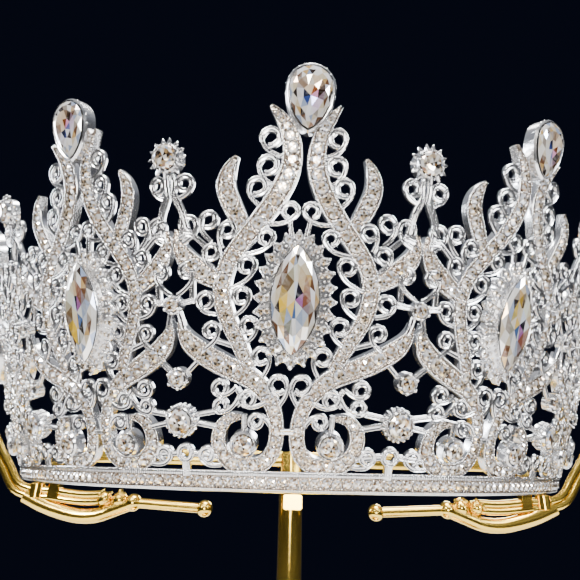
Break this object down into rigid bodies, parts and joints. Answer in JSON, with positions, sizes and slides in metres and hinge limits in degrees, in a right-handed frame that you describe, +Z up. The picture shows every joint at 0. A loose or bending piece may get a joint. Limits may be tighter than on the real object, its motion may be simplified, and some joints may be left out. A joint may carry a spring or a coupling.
{
  "type": "pageant crown on a display stand",
  "caption": "Open-backed pageant crown of pierced scroll motifs set with pear, navette and round crystals, carried by a gilt stand with curled side arms.",
  "frame": {"origin": "centre of the stand's round foot, on its underside, on the post's axis", "axes": "+Z up along the post, -Y to the crown's front, +X to the right seen from the front"},
  "size_m": [0.238, 0.1272, 0.1827],
  "materials": {
    "plated_metal": "bright silver-toned plating with beaded edges",
    "polished_gold": "polished gilt metal",
    "large_crystal": "cut crystal with a foiled back and a faint rainbow coat",
    "small_crystal": "cut crystal with a foiled back"
  },
  "bodies": {
    "root": {"crown_frame": "plated_metal", "display_stand": "polished_gold", "claw_stones": "small_crystal", "pear_stone_1": "large_crystal", "pear_stone_2": "large_crystal", "pear_stone_3": "large_crystal", "pear_stone_4": "large_crystal", "pear_stone_5": "large_crystal", "marquise_stone_1": "large_crystal", "marquise_stone_2": "large_crystal", "marquise_stone_3": "large_crystal", "marquise_stone_4": "large_crystal", "marquise_stone_5": "large_crystal", "drop_stone_1": "small_crystal", "drop_stone_2": "small_crystal", "drop_stone_3": "small_crystal", "drop_stone_4": "small_crystal", "drop_stone_5": "small_crystal", "drop_stone_6": "small_crystal", "drop_stone_7": "small_crystal", "drop_stone_8": "small_crystal", "drop_stone_9": "small_crystal", "drop_stone_10": "small_crystal", "crest_stone_1": "small_crystal", "crest_stone_2": "small_crystal", "crest_stone_3": "small_crystal", "crest_stone_4": "small_crystal", "crest_stone_5": "small_crystal", "crest_stone_6": "small_crystal", "flower_stone_1": "small_crystal", "flower_stone_2": "small_crystal", "flower_stone_3": "small_crystal", "flower_stone_4": "small_crystal", "flower_stone_5": "small_crystal", "flower_stone_6": "small_crystal"}
  },
  "joints": []
}
